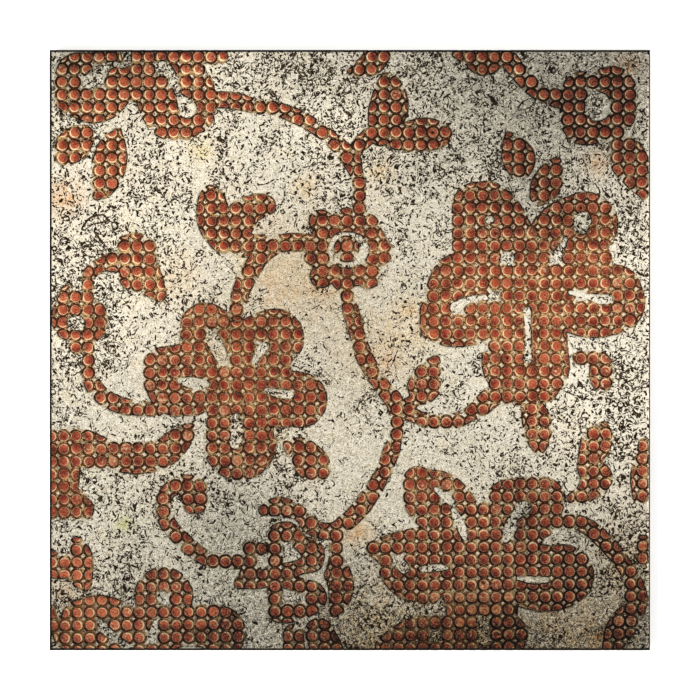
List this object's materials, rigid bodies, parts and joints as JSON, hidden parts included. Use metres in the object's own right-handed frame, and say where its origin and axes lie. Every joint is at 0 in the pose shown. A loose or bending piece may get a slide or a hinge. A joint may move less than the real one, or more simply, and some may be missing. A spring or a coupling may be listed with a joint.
{
  "type": "carved stone tile",
  "caption": "Square stone tile with a vine and flowers carved as fields of painted dots, sawn flat on the back for bedding.",
  "frame": {"origin": "middle of the sawn back face, which lies on the ground plane", "axes": "+Z out of the carved face, +Y towards the top of the plant, +X to the right seen from the face"},
  "size_m": [0.4, 0.4, 0.012],
  "materials": {
    "stone": "honed and antiqued, dark in the cuts, with red-brown paint on the dots"
  },
  "bodies": {
    "root": {"stone_slab": "stone"}
  },
  "joints": []
}
